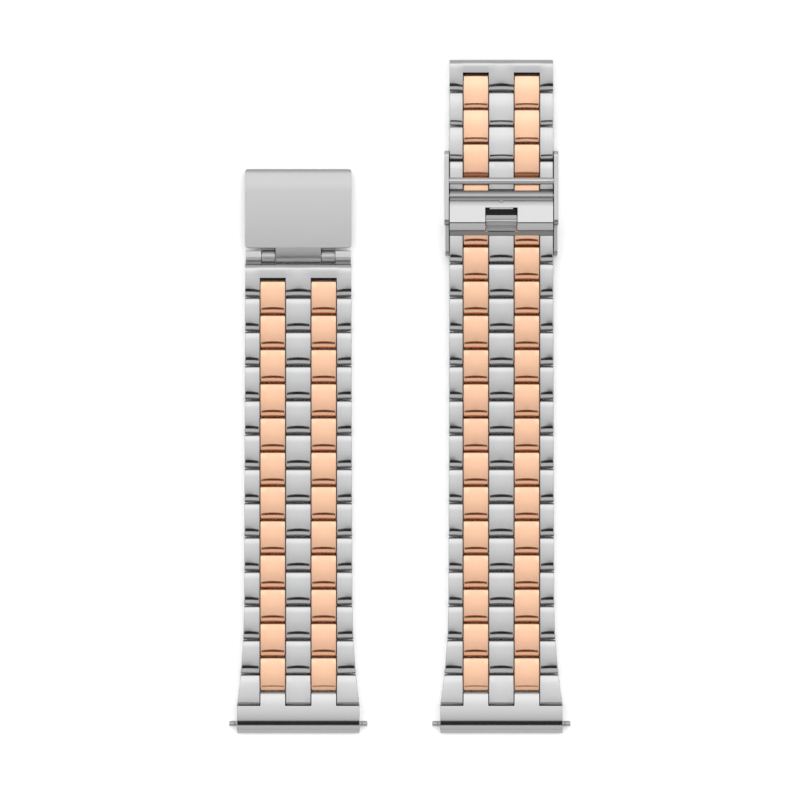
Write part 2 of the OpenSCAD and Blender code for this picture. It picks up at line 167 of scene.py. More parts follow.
studio = bpy.data.worlds.new("studio")
bpy.context.scene.world = studio
sky = Nodes(studio)
direction = sky.node("ShaderNodeTexCoord")["Generated"]
towards = sky.node("ShaderNodeSeparateXYZ", inputs={"Vector": direction})
up = towards["Z"].math("MAXIMUM", HORIZON)
lean = towards["Y"].math("ARCTAN2", up) * math.degrees(1)
aside = towards["X"] / up
card_start = aside * aside * -CARD_LENS - CARD_START
card = ((card_start - lean) / CARD_SOFT).clamped() * ((lean + CARD_END) / CARD_SOFT).clamped()
tone = sky.node("ShaderNodeValToRGB", {"stops": [((a + 90) / 180, v / LEAN_TOP) for a, v in LEAN_STOPS]},
                {"Fac": (lean + 90) / 180})["Color"]
side_tone = 1 - (aside.math("ABSOLUTE") * SIDE_FALL).clamped() * SIDE_FALL_MOST
level = tone * LEAN_TOP * side_tone * (1 - card) + card * CARD_TONE
camera_ray = sky.node("ShaderNodeLightPath")["Is Camera Ray"]
seen = level * (1 - camera_ray) + camera_ray
grey = sky.node("ShaderNodeCombineXYZ", inputs={"X": seen, "Y": seen, "Z": seen})["Vector"]
light = sky.node("ShaderNodeBackground", inputs={"Color": grey, "Strength": 1.0})["Background"]
sky.node("ShaderNodeOutputWorld", inputs={"Surface": light})
print("sky", len(sky.tree.nodes), "nodes")

# %% [markdown]
# The strap lies on plain pale paper. More light would turn the paper white, but would bleach the
# metal too. Instead the camera gets a lighter colour than the light does, so the floor is white as in
# the photograph and still has the strap's shadow, and the gaps between the links stay dark. The metal
# mirrors only a little of that white, or the clasp's walls would vanish in it.

# %% Floor
FLOOR_HALF = 3000.0
PAPER_TONE, WHITE_TONE = 0.93, 1.7
REFLECTED_WHITE = 0.15

floor_mesh = bpy.data.meshes.new("floor")
bm = bmesh.new()
bmesh.ops.create_grid(bm, x_segments=1, y_segments=1, size=FLOOR_HALF * MM)
bm.to_mesh(floor_mesh)
bm.free()
floor = bpy.data.objects.new("floor", floor_mesh)
bpy.context.scene.collection.objects.link(floor)

paper = bpy.data.materials.new("white_paper")
sheet = Nodes(paper)
matt = sheet.node("ShaderNodeBsdfDiffuse", inputs={"Color": (*[PAPER_TONE] * 3, 1)})["BSDF"]
white = sheet.node("ShaderNodeBsdfDiffuse", inputs={"Color": (*[WHITE_TONE] * 3, 1)})["BSDF"]
ray = sheet.node("ShaderNodeLightPath")
whiteness = ray["Is Camera Ray"] + ray["Is Glossy Ray"] * REFLECTED_WHITE
shown = sheet.node("ShaderNodeMixShader", inputs={"Fac": whiteness, 1: matt, 2: white})["Shader"]
sheet.node("ShaderNodeOutputMaterial", inputs={"Surface": shown})
floor_mesh.materials.append(paper)
print("floor", round(floor.dimensions.x, 1), "m across")

# %% [markdown]
# The strap has two metals, and each has several finishes: polished faces, a satin cover, brushed
# clasp parts, and dull cuts. A picture of brushed metal could be wrapped round them, but it would
# repeat and blur. So each finish is one Principled shader with a metallic of 1 and the metal's own
# reflectance, except that the cuts are much darker: their colour is painted shade for faces deep in
# gaps and slots, as is the ground steel's where it lies under the cover. Two noises on Object
# coordinates break up its reflections: one stretched into hairlines, and one of soft clouds. The rose
# gold is a thin plating, and a little light scatters in it.

# %% Metals
HAIR_FINE, HAIR_LONG = 60000.0, 900.0
HAIR_DEPTH = 0.00001
HAIR_TINT, HAIR_CONTRAST = 0.04, 4
CLOUDS, CLOUD_ROUGHNESS = 400.0, 0.02


def noise(bench, scale, detail):
    """A noise on Object coordinates, stretched by a scale for each axis."""
    place = bench.node("ShaderNodeTexCoord")["Object"]
    stretched = bench.node("ShaderNodeMapping", inputs={"Vector": place, "Scale": scale})["Vector"]
    return bench.node("ShaderNodeTexNoise", inputs={"Vector": stretched, "Scale": 1.0, "Detail": detail})["Fac"]


def metal(name, colour, roughness, hairline, lines_along, stain=None):
    """A metal finish with hairlines along X or Y.

    stain is the share and the colour of the light that scatters in the finish."""
    made = bpy.data.materials.new(name)
    bench = Nodes(made)
    along_x, along_y = (HAIR_LONG, HAIR_FINE, HAIR_FINE), (HAIR_FINE, HAIR_LONG, HAIR_FINE)
    grain = noise(bench, along_x if lines_along == "X" else along_y, 2.0)
    clouds = noise(bench, (CLOUDS, CLOUDS, CLOUDS), 3.0)
    rough = (clouds - 0.5) * CLOUD_ROUGHNESS + (grain - 0.5) * hairline + roughness
    bump = bench.node("ShaderNodeBump", inputs={
        "Height": grain, "Strength": hairline, "Distance": HAIR_DEPTH})["Normal"]
    tint = bench.node("ShaderNodeMix", {"data_type": "RGBA"}, {
        "Factor": ((grain - 0.5) * hairline * HAIR_CONTRAST + 0.5).clamped(),
        "A": (*[v * (1 - HAIR_TINT) for v in colour], 1),
        "B": (*[min(v * (1 + HAIR_TINT), 1) for v in colour], 1)})["Result"]
    shader = bench.node("ShaderNodeBsdfPrincipled", inputs={
        "Base Color": tint, "Metallic": 1.0, "Roughness": rough, "Normal": bump})["BSDF"]
    if stain:
        share, scattered = stain
        matt = bench.node("ShaderNodeBsdfDiffuse", inputs={"Color": (*scattered, 1)})["BSDF"]
        shader = bench.node("ShaderNodeMixShader", inputs={"Fac": share, 1: shader, 2: matt})["Shader"]
    bench.node("ShaderNodeOutputMaterial", inputs={"Surface": shader})
    return made


STEEL = metal("polished_steel", (0.565, 0.565, 0.57), 0.15, 0.04, "Y")
ROSE = metal("polished_rose_gold", (0.98, 0.65, 0.45), 0.15, 0.04, "Y", stain=(0.17, (0.85, 0.14, 0.0)))
SATIN = metal("satin_steel", (0.56, 0.56, 0.565), 0.36, 0.30, "X")
BRUSHED = metal("brushed_steel", (0.56, 0.56, 0.565), 0.44, 0.22, "X")
DRAWN = metal("drawn_steel", (0.45, 0.45, 0.46), 0.35, 0.15, "X")
BRIGHT = metal("bright_brushed_steel", (0.68, 0.68, 0.685), 0.38, 0.2, "X")
# Ground steel is a real finish on the lever's front and foot; on the hook its dark colour is painted shade under the
# cover.
GROUND_AND_SHADE = metal("ground_steel_and_painted_shade", (0.36, 0.36, 0.365), 0.45, 0.12, "X")
# The cut finishes are rough, and their dark colour is painted shade for faces deep in gaps and slots.
SHADED_CUT_STEEL = metal("cut_steel_painted_shade", (0.33, 0.33, 0.335), 0.55, 0.10, "X")
SHADED_CUT_ROSE_GOLD = metal("cut_rose_gold_painted_shade", (0.62, 0.28, 0.12), 0.55, 0.10, "X")
print("metals", [m.name for m in (STEEL, ROSE, SATIN, BRUSHED, DRAWN, BRIGHT, GROUND_AND_SHADE, SHADED_CUT_STEEL, SHADED_CUT_ROSE_GOLD)])

# %% [markdown]
# Every piece is modelled in millimetres, because a strap's sizes read best that way, and then brought
# to the frame's metres. Its place goes into its mesh, so its object stays at the origin, as the
# export needs it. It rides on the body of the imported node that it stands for, and replaces that node.

# %% Finish a piece
SHARP_ANGLE = math.radians(28)
body_of_node = {node: body for body, nodes in frame["record"]["behaviour"]["bodies"].items() for node in nodes}


def finish_piece(name, bm, finishes, node):
    """Turns a bmesh in millimetres into a smooth-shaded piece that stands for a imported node."""
    bmesh.ops.scale(bm, vec=(MM, MM, MM), verts=bm.verts)
    bmesh.ops.recalc_face_normals(bm, faces=bm.faces)
    for face in bm.faces:
        face.smooth = True
    mesh = bpy.data.meshes.new(name)
    bm.to_mesh(mesh)
    bm.free()
    mesh.set_sharp_from_angle(angle=SHARP_ANGLE)
    for finish in finishes:
        mesh.materials.append(finish)
    piece = bpy.data.objects.new(name, mesh)
    bpy.context.scene.collection.objects.link(piece)
    flat_faces = piece.modifiers.new("flat_faces_stay_flat", "WEIGHTED_NORMAL")
    flat_faces.keep_sharp = True
    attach(piece, body_of_node[node])
    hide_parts(node)


print("nodes to dress", len(body_of_node))

# %% [markdown]
# Nearly every piece of the strap was milled or bent to one side view that runs straight across it. A
# box could be carved to that shape, but its curves would come out uneven. A pen draws the side view
# instead, with bmesh operators: spin makes a round turn out of one vertex, and an extruded vertex
# makes a straight run. Then the outline is filled and extruded across the strap.

# %% Side views
WELD = 0.002


def verts_of(geom):
    return [v for v in geom if isinstance(v, bmesh.types.BMVert)]


class Pen:
    """Draws a side view in the YZ plane: straight runs and round turns. Heading 0 is +Y, 90 is up."""

    def __init__(self, y, z, heading):
        self.bm = bmesh.new()
        self.start = (y, z)
        self.tip = self.bm.verts.new((0, y, z))
        self.heading = heading

    def to(self, y, z, heading=None):
        self.tip = bmesh.ops.extrude_vert_indiv(self.bm, verts=[self.tip])["verts"][0]
        self.tip.co = (0, y, z)
        self.heading = self.heading if heading is None else heading
        return self

    def turn(self, radius, degrees, steps):
        angle = math.radians(self.heading)
        centre = self.tip.co + Vector((0, -math.sin(angle), math.cos(angle))) * math.copysign(radius, degrees)
        made = bmesh.ops.spin(self.bm, geom=[self.tip], cent=centre, axis=(1, 0, 0),
                              angle=math.radians(degrees), steps=steps)["geom_last"]
        self.tip = verts_of(made)[0]
        self.heading += degrees
        return self

    def carried(self, x0, x1):
        """Closes and fills the outline, and extrudes it from x0 to x1."""
        bm = self.to(*self.start).bm
        bmesh.ops.remove_doubles(bm, verts=bm.verts, dist=WELD)
        bmesh.ops.edgeloop_fill(bm, edges=bm.edges)
        bmesh.ops.translate(bm, vec=(x0, 0, 0), verts=bm.verts)
        made = bmesh.ops.extrude_face_region(bm, geom=bm.faces)["geom"]
        bmesh.ops.translate(bm, vec=(x1 - x0, 0, 0), verts=verts_of(made))
        return bm


# %% [markdown]
# Links and the bars that end each half share one kind of side view. The end towards the watch rolls
# over in three arcs, the face is a very shallow arch, and the far end is square with eased edges. The
# far wall of a link stands out a little at half height and so closes the gap to the next row. The
# parts of an end that lie deep in a gap are rough as cut, and their darker colour is painted shade.

# %% Side view of links and bars
LINK_R = LINK_T / 2
LINK_GAP = 0.24
STEP = LINK_T + LINK_GAP
NEAR_TILT = 3.5
ROLL_TILTS = (NEAR_TILT, 24.5, 36.0, 90.0)
ROLL_STEPS = (4, 2, 3)
SLOT_FILLET, FILLET_FOOT = 0.5, 0.75
BELLY_LOW, BELLY_HIGH = -0.3, 0.1
STEEP = 0.85
UNDERSIDE = -0.9


def sin_deg(angle):
    return math.sin(math.radians(angle))


def cos_deg(angle):
    return math.cos(math.radians(angle))


def side_view(far_y, far_round, arch, roll, slot_y=None, belly=0.0):
    """A side view from the hinge to far_y.

    roll holds the radii of the rolled end, and with slot_y there is a filleted wall at slot_y instead.
    belly is how far the far wall stands out at half height."""
    roll_y = sum(r * (sin_deg(b) - sin_deg(a)) for r, a, b in zip(roll, ROLL_TILTS, ROLL_TILTS[1:])) - LINK_R
    middle = roll_y + arch * sin_deg(NEAR_TILT)
    far_tilt = math.degrees(math.asin((far_y - far_round - middle) / (arch - far_round)))
    if slot_y is None:
        near_tilt = NEAR_TILT
        pen = Pen(roll_y, LINK_R - arch * (1 - cos_deg(near_tilt)), 180 + near_tilt)
        for radius, a, b, steps in zip(roll, ROLL_TILTS, ROLL_TILTS[1:], ROLL_STEPS):
            pen.turn(radius, b - a, steps)
        pen.to(-LINK_R, 0).turn(LINK_R, 90, 5)
    else:
        near_tilt = math.degrees(math.asin((middle - slot_y) / arch))
        pen = Pen(slot_y, LINK_R - arch * (1 - cos_deg(near_tilt)), 0)
        pen.to(slot_y, SLOT_FILLET - LINK_R, 270).turn(SLOT_FILLET, -75, 5)
        pen.to(slot_y - SLOT_FILLET * FILLET_FOOT, -LINK_R, 0)
    pen.to(far_y - far_round, -LINK_R).turn(far_round, 90, 3)
    if belly:
        pen.to(far_y + belly, BELLY_LOW).to(far_y + belly, BELLY_HIGH)
    pen.to(far_y, LINK_R - arch + (arch - far_round) * cos_deg(far_tilt)).turn(far_round, 90 - far_tilt, 4)
    return pen.turn(arch, far_tilt + near_tilt, 4)


def mark_shaded_ends(bm, steep=STEEP):
    """Gives steep faces at the ends, which lie deep between two links, the second finish, whose darker colour is
    painted shade.
    """
    bm.normal_update()
    for face in bm.faces:
        face.material_index = int(abs(face.normal.y) > steep and face.calc_center_median().z > UNDERSIDE)


print("rows repeat every", 2 * STEP, "mm")

# %% [markdown]
# A link is a small block with two pin holes, and here it is that side view carried across its column.
# Its face swells a little across the strap, and that swell bends the black reflection on the rolled
# end into a crescent. A subdivision surface could swell too, but it would shrink the sharp end. So the
# block is cut into strips, closest at its rims, and each strip is lowered by its share.

# %% Link shape
MID_W = 3.98
FAR_ROUND = 0.22
LINK_ARCH = 23.7
ROLL = (1.5, 3.9, 0.3)
CROWN = 0.16
EDGE = 0.09
STRIP_EDGES = (-1, -0.96, -0.78, -0.52, -0.26, 0, 0.26, 0.52, 0.78, 0.96, 1)
RIM_STRIP = 0.02
BELLY = 0.11


def cut_across(bm, axis, places):
    """Cuts the whole mesh at each place along an axis."""
    for place in places:
        bmesh.ops.bisect_plane(bm, geom=bm.verts[:] + bm.edges[:] + bm.faces[:], dist=1e-5,
                               plane_co=Vector(axis) * place, plane_no=Vector(axis))


def lower_face(bm, drop_at):
    """Lowers the face by a drop worked out from each place, and what lies below it by less."""
    for vert in bm.verts:
        if vert.co.z > 0:
            vert.co.z -= drop_at(vert.co) * vert.co.z / LINK_R


def round_off(bm, edges, width, segments=2):
    """Rounds some edges."""
    bmesh.ops.bevel(bm, geom=edges, offset=width, offset_type="OFFSET", segments=segments, profile=0.5,
                    affect="EDGES", material=-1, clamp_overlap=True)


def link_blank(width, roll, crown=CROWN, crown_shift=0.0, lean=0.0, steep=STEEP):
    """One link, its first pin on the X axis and its second one step along Y."""
    bm = side_view(STEP + LINK_R, FAR_ROUND, LINK_ARCH, roll, belly=BELLY).carried(-width / 2, width / 2)
    rim_x = width / 2 - EDGE - RIM_STRIP
    cut_across(bm, (1, 0, 0), [rim_x * share for share in STRIP_EDGES])
    mark_shaded_ends(bm, steep)
    lower_face(bm, lambda at: crown * (2 * at.x / width - crown_shift) ** 2 + lean * (at.y + LINK_R))
    round_off(bm, [e for e in bm.edges if all(abs(abs(v.co.x) - width / 2) < 1e-4 for v in e.verts)], EDGE)
    return bm


def add_copy(target, source, matrix=Matrix.Identity(4)):
    """Adds a copy of one bmesh, moved by a matrix, to another."""
    mesh = bpy.data.meshes.new("copy")
    source.to_mesh(mesh)
    mesh.transform(matrix)
    if matrix.determinant() < 0:
        mesh.flip_normals()
    target.from_mesh(mesh)
    bpy.data.meshes.remove(mesh)


trial_link = link_blank(MID_W, ROLL)
print("link", len(trial_link.faces), "faces, open edges", sum(not e.is_manifold for e in trial_link.edges))
trial_link.free()

# %% [markdown]
# Along each half the columns keep their widths, and only the outer links follow the flare towards the
# watch. The places could be typed in row by row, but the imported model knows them. So a unit's hinge is
# read from the joints, or from the box of a unit that the clasp holds fixed.

# %% Places of the columns and hinges
ROSE_W = MID_W
SEAM = 0.1
ROSE_X = MID_W / 2 + SEAM + ROSE_W / 2
OUTER_X = ROSE_X + ROSE_W / 2 + SEAM
STRAP_W = {"short": 17.0, "long": 16.6}
ROWS = {"short": 12, "long": 18}
LUG_W = 19.6
TAPER = 0.3
FLARE_END, FLARE_LEN, TAPER_END = 20.18, 17.3, 69.56
bar_y = {half: sum(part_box(f"{half}_bar_tube"), Vector()).y / 2 / MM for half in ROWS}
joint_at = {joint["name"]: Vector(joint["pos_m"]) / MM for joint in frame["joints"] if "pos_m" in joint}


def strap_w(half, s):
    """Width of a half at a distance s from its spring bar."""
    narrow = min(1, max(0, (TAPER_END - s) / (TAPER_END - FLARE_END)))
    flare = min(1, max(0, (FLARE_END - s) / FLARE_LEN))
    return STRAP_W[half] + TAPER * narrow + (LUG_W - STRAP_W[half] - TAPER) * flare ** 2


def hinge_point(half, k):
    """The hinge of unit k of a half, in millimetres."""
    if f"{half}_hinge_{k:02d}" in joint_at:
        return joint_at[f"{half}_hinge_{k:02d}"]
    low, high = (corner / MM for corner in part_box(f"{half}_link_{k:02d}"))
    return Vector(((low.x + high.x) / 2, low.y + LINK_R, (low.z + high.z) / 2))


def unit_place(half, k):
    """Where unit k lies: on its hinge, and sloped towards the next one."""
    start, end = hinge_point(half, k), hinge_point(half, k + 1)
    return Matrix.Translation(start) @ Matrix.Rotation(math.atan2(end.z - start.z, end.y - start.y), 4, "X")


print("widths", {half: [round(strap_w(half, s), 2) for s in (0, 10, 20, 70)] for half in ROWS})

# %% [markdown]
# A unit is three steel links, two rose gold links half a pitch further on, and two pins. The packed
# model holds them in one node, and one mesh with two finishes could stand for it. Here each metal is
# its own piece, so that each takes its own slot. The first unit's links are cut lower at the end
# link, and those beyond the clasp are rounder.

# %% Link units
MIRROR_X = Matrix.Scale(-1, 4, (1, 0, 0))
THIN_ROLL = (0.5, 3.1, 0.3)
ROSE_ROLL = (1.25, 3.3, 0.3)
END_ROLL = (0.12, 4.0, 0.3)
END_LEAN = 0.035
END_STEEP = 0.4
OUTER_CROWN, OUTER_SHIFT = 0.06, 0.5
LAST_UNIT_IN_CLASP = 15


def unit_style(half, k):
    """The rolled ends of steel and rose gold, the lean of the steel faces, and where their darker ends, painted shade
    in the gaps, start.
    """
    if k == 1:
        return END_ROLL, THIN_ROLL, END_LEAN, END_STEEP
    if half == "long" and k > LAST_UNIT_IN_CLASP:
        return THIN_ROLL, THIN_ROLL, 0.0, STEEP
    return ROLL, ROSE_ROLL, 0.0, STEEP


def outer_link(half, s, roll, lean, steep):
    """The outer link on the right, shaped to follow the edge of the half from s on."""
    inner_w = strap_w(half, s + STEP / 2) / 2 - OUTER_X
    bm = link_blank(inner_w, roll, OUTER_CROWN, OUTER_SHIFT, lean, steep)
    for vert in bm.verts:
        edge_x = strap_w(half, s + vert.co.y) / 2
        share = vert.co.x / inner_w + 0.5
        vert.co.x = OUTER_X + share * (edge_x - OUTER_X)
    return bm


for half, rows in ROWS.items():
    for k in range(1, rows + 1):
        node, place = f"{half}_link_{k:02d}", unit_place(half, k)
        steel_roll, rose_roll, lean, steep = unit_style(half, k)
        steel, rose = bmesh.new(), bmesh.new()
        mid_link = link_blank(MID_W, steel_roll, lean=lean, steep=steep)
        outer = outer_link(half, hinge_point(half, k).y - bar_y[half], steel_roll, lean, steep)
        rose_link = link_blank(ROSE_W, rose_roll)
        for link, side in ((mid_link, Matrix.Identity(4)), (outer, Matrix.Identity(4)), (outer, MIRROR_X)):
            add_copy(steel, link, place @ side)
        for side in (-1, 1):
            add_copy(rose, rose_link, place @ Matrix.Translation((side * ROSE_X, STEP, 0)))
        # The steel ends deep between links get the darker second finish as painted shade; in the first unit, sunk in
        # the end link's pockets, it is the lighter drawn steel.
        finish_piece(f"{node}_steel", steel, [STEEL, DRAWN if k == 1 else SHADED_CUT_STEEL], node)
        finish_piece(f"{node}_rose_gold", rose, [ROSE, SHADED_CUT_ROSE_GOLD], node)
        for link in (mid_link, outer, rose_link):
            link.free()
print("units", sum(ROWS.values()))

# %% [markdown]
# The pins are steel wire, pressed in from the right edge, where each shows as a small round end. They
# are blind at the left edge. Whole pins could be drawn, but the links hide all but that end, so only
# the end is modelled. It is a cone with two equal radii and a bevel round each rim.

# %% Pin ends
PIN_R = 0.5
PIN_SHOWN = 0.5
PIN_PROUD = 0.015
PIN_CHAMFER = 0.06
SAME_X = 1e-5


def lies_across(edge):
    """Whether an edge lies in a plane square to the X axis."""
    return abs(edge.verts[0].co.x - edge.verts[1].co.x) < SAME_X


def pin(x0, x1, r):
    """A straight pin from x0 to x1 with a small chamfer at each end."""
    bm = bmesh.new()
    bmesh.ops.create_cone(bm, cap_ends=True, segments=32, radius1=r, radius2=r, depth=x1 - x0,
                          matrix=Matrix.Translation(((x0 + x1) / 2, 0, 0)) @ Matrix.Rotation(math.pi / 2, 4, "Y"))
    round_off(bm, [e for e in bm.edges if lies_across(e)], PIN_CHAMFER, 1)
    return bm


def pin_end(edge_x):
    """The shown end of a pin at the right edge of a half."""
    return pin(edge_x - PIN_SHOWN, edge_x + PIN_PROUD, PIN_R)


for half, rows in ROWS.items():
    for k in range(1, rows + 1):
        node, s = f"{half}_link_{k:02d}", hinge_point(half, k).y - bar_y[half]
        pins = bmesh.new()
        for y in (0, STEP):
            shown = pin_end(strap_w(half, s + y) / 2)
            add_copy(pins, shown, unit_place(half, k) @ Matrix.Translation((0, y, 0)))
            shown.free()
        finish_piece(f"{node}_pins", pins, [DRAWN], node)
print("pin ends", 2 * sum(ROWS.values()))

# %% [markdown]
# Two bars end the strap: one behind the cover and one at the tail. Each has three rolled fingers, and
# two slots that take the last rose gold links. The slots could be cut out with a Boolean, but that
# leaves ragged edges on a curved face. So the bar is built in five sections side by side that share
# one arch, and its face runs through without a seam. The fingers swell like links, and the swell fades
# beyond the slots.

# %% Slotted bars
SLOT_Y = LINK_R + 0.53
BAR_ARCH = 30.0
BAR_ROUND = 0.9
BAR_END = SLOT_Y + 2.25
BAR_FAR = {"short": BAR_END, "long": BAR_END - 0.18}
END_OF = {"short": "clasp_end", "long": "tail_end"}
END_HINGE = {half: hinge_point(half, rows + 1) for half, rows in ROWS.items()}
SLOT_HALF = ROSE_W / 2 + SEAM
SLOT_DROP = 0.145
SWELL_FADE = 0.6
FINGER_STRIPS = 8


def swell_left(y, far_y):
    """The share of the fingers' swell that is left at y."""
    return 1 - SWELL_FADE * min(1, max(0, (y - SLOT_Y) / (far_y - SLOT_Y)))


def finger(x0, x1, far_y):
    """One finger with the bar behind it, from x0 to x1."""
    bm = side_view(far_y, BAR_ROUND, BAR_ARCH, ROLL).carried(x0, x1)
    cut_across(bm, (1, 0, 0), [x0 + (x1 - x0) * i / FINGER_STRIPS for i in range(1, FINGER_STRIPS)])
    cut_across(bm, (0, 1, 0), [SLOT_Y])
    mark_shaded_ends(bm)
    for face in bm.faces:
        face.material_index *= face.calc_center_median().y < SLOT_Y
    outer = abs(x0 + x1) > 1
    crown, shift = (OUTER_CROWN, math.copysign(OUTER_SHIFT, x0 + x1)) if outer else (CROWN, 0)
    lower_face(bm, lambda at: crown * ((2 * at.x - x0 - x1) / (x1 - x0) - shift) ** 2 * swell_left(at.y, far_y))
    return bm


def slot_floor(x, far_y):
    """The bar behind one slot."""
    bm = side_view(far_y, BAR_ROUND, BAR_ARCH, ROLL, SLOT_Y).carried(x - SLOT_HALF, x + SLOT_HALF)
    # The slot's wall gets the darker cut finish, as painted shade deep in the slot.
    for face in bm.faces:
        face.material_index = int(face.calc_center_median().y < SLOT_Y + 0.01)
    lower_face(bm, lambda at: SLOT_DROP * swell_left(at.y, far_y))
    return bm


def placed(bm, at):
    """Moves a bmesh to its place."""
    bmesh.ops.translate(bm, vec=at, verts=bm.verts)
    return bm


for half, end in END_OF.items():
    edge, far_y = STRAP_W[half] / 2, BAR_FAR[half]
    bar = bmesh.new()
    for section in (finger(-edge, -ROSE_X - SLOT_HALF, far_y), finger(SLOT_HALF - ROSE_X, ROSE_X - SLOT_HALF, far_y),
                    finger(ROSE_X + SLOT_HALF, edge, far_y), slot_floor(-ROSE_X, far_y), slot_floor(ROSE_X, far_y)):
        add_copy(bar, section)
        section.free()
    finish_piece(f"{end}_bar", placed(bar, END_HINGE[half]), [STEEL, SHADED_CUT_STEEL], f"{end}_link")
    print(f"{end}_bar", round(far_y + LINK_R, 2), "mm long")

# %% [markdown]
# The cover turns on a pin between knuckles. The two outer ones are ears of the clasp end: flat on top
# like a link, rolled down towards the bar, and joined to it by a thin web. Plain tubes would show a
# stripe of light where the real ears have a flat face, so the pen draws the real side view. The ears
# are brushed and show no black crescents. The web, low between ear and bar, gets the darker cut
# finish as painted shade.

# %% Ears of the clasp end
KNUCKLE_R = 1.04
COVER_KNUCKLE_W, HOOK_KNUCKLE_W, KNUCKLE_PLAY = 7.3, 2.1, 0.2
COVER_Y = BAR_END + 0.16 + KNUCKLE_R
EAR_X = COVER_KNUCKLE_W / 2 + KNUCKLE_PLAY + HOOK_KNUCKLE_W
EAR_OUT = STRAP_W["short"] / 2 - 0.1
EAR_FAR = COVER_Y + 0.9
EAR_EDGE = 0.06
WEB_TOP, WEB_LOW = 0.3, -0.74
WEB_NEAR = BAR_END - 0.6


def ear(x0, x1):
    """An ear about the cover's pin, with its web, from the clasp end's hinge."""
    pen = Pen(COVER_Y - 0.13, KNUCKLE_R, 180).turn(0.3, 27, 3).turn(1.1, 38, 5).turn(0.5, 25, 3)
    pen.to(pen.tip.co.y, WEB_TOP).to(WEB_NEAR, WEB_TOP).to(WEB_NEAR, WEB_LOW)
    pen.to(COVER_Y - 0.6, WEB_LOW).to(COVER_Y - 0.3, -KNUCKLE_R, 0)
    pen.to(EAR_FAR - 0.4, -KNUCKLE_R).turn(0.4, 90, 4)
    bm = pen.to(EAR_FAR, KNUCKLE_R - 0.2).turn(0.2, 90, 4).carried(x0, x1)
    bm.normal_update()
    round_off(bm, [e for e in bm.edges if lies_across(e) and any(abs(f.normal.x) > 0.99 for f in e.link_faces)],
              EAR_EDGE)
    bm.normal_update()
    # The web's faces get the darker cut finish, as painted shade low between ear and bar.
    for face in bm.faces:
        centre = face.calc_center_median()
        face.material_index = int(abs(face.normal.x) < 0.5 and 0 < centre.z < WEB_TOP + 0.2 and centre.y < COVER_Y)
    return bm


ears = bmesh.new()
for x0, x1 in ((EAR_X, EAR_OUT), (-EAR_OUT, -EAR_X)):
    one_ear = ear(x0, x1)
    add_copy(ears, one_ear, Matrix.Translation(END_HINGE["short"]))
    one_ear.free()
finish_piece("clasp_end_knuckles", ears, [BRIGHT, SHADED_CUT_STEEL], "clasp_end_link")
print("ears from", EAR_X, "to", EAR_OUT, "mm")

# %% [markdown]
# Three more pins show an end: the cover's own pin, which runs through all the knuckles, and the last
# pin of each half, which holds its bar. They are made like the pins of the units.

# %% Last pins
cover_pin_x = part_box("cover_pin")[0].x / MM - END_HINGE["short"].x
cover_pin = pin(cover_pin_x, EAR_OUT + PIN_PROUD, PIN_R)
finish_piece("cover_pin_shown", placed(cover_pin, END_HINGE["short"] + Vector((0, COVER_Y, 0))), [DRAWN], "cover_pin")
for half, end in END_OF.items():
    finish_piece(f"{half}_last_pin", placed(pin_end(STRAP_W[half] / 2), END_HINGE[half]), [DRAWN], f"{end}_link")
print("cover pin", round(EAR_OUT + PIN_PROUD - cover_pin_x, 2), "mm")

# %% [markdown]
# The end links, plungers, crossbar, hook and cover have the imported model's shape, so drawing them
# again would only bring mistakes. A copy of each is welded, its flat faces are joined up, and its hard
# edges get the small round that polishing leaves. The tops of the end links and the cover are
# slightly arched, because dead flat ones would mirror a single tone. The cover also falls away more
# steeply towards its hinge.

# %% Polished copies
FLAT_ANGLE, HARD_ANGLE = math.radians(1.5), math.radians(35)
SOFT_EDGE, END_LINK_EDGE = 0.06, 0.1
END_LINK_TOP, END_LINK_ARCH = 1.6, 19.4
COVER_TOP, COVER_ARCH = 3.0, 120
COVER_BREAK, COVER_BEND = 1.7, 11
ARCH_STRIPS = 24
ARCH_DEPTH = 0.9


def arch_top(bm, arch, bend):
    """Lowers the top along an arch, and what lies before a bend along a tighter one.

    arch and bend are each a place along Y and a radius."""
    top = max(v.co.z for v in bm.verts)
    low, high = min(v.co.y for v in bm.verts), max(v.co.y for v in bm.verts)
    cut_across(bm, (0, 1, 0), [low + (high - low) * i / ARCH_STRIPS for i in range(1, ARCH_STRIPS)])
    for vert in bm.verts:
        share = max(0, 1 - (top - vert.co.z) / ARCH_DEPTH)
        vert.co.z -= (vert.co.y - arch[0]) ** 2 / (2 * arch[1]) * share
        if bend and vert.co.y < bend[0]:
            vert.co.z -= (vert.co.y - bend[0]) ** 2 / (2 * bend[1]) * share


def polished_copy(node, finishes, edge=SOFT_EDGE, segments=2, rounded=None, arch=None, bend=None,
                  finish_at=None):
    """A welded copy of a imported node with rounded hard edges.

    rounded tells by its middle whether an edge is rounded, and finish_at by its centre which finish a
    face has."""
    bm = bmesh.new()
    bm.from_mesh(frame["nodes"][node].data)
    bmesh.ops.scale(bm, vec=(1 / MM,) * 3, verts=bm.verts)
    bmesh.ops.remove_doubles(bm, verts=bm.verts, dist=WELD)
    bmesh.ops.dissolve_limit(bm, angle_limit=FLAT_ANGLE, verts=bm.verts, edges=bm.edges)
    hard = [e for e in bm.edges if e.is_manifold and e.calc_face_angle(0) > HARD_ANGLE]
    round_off(bm, [e for e in hard if not rounded or rounded((e.verts[0].co + e.verts[1].co) / 2)], edge, segments)
    if arch:
        arch_top(bm, arch, bend)
    for face in bm.faces:
        face.material_index = int(finish_at(face.calc_center_median())) if finish_at else 0
    finish_piece(f"{node}_shown", bm, finishes, node)


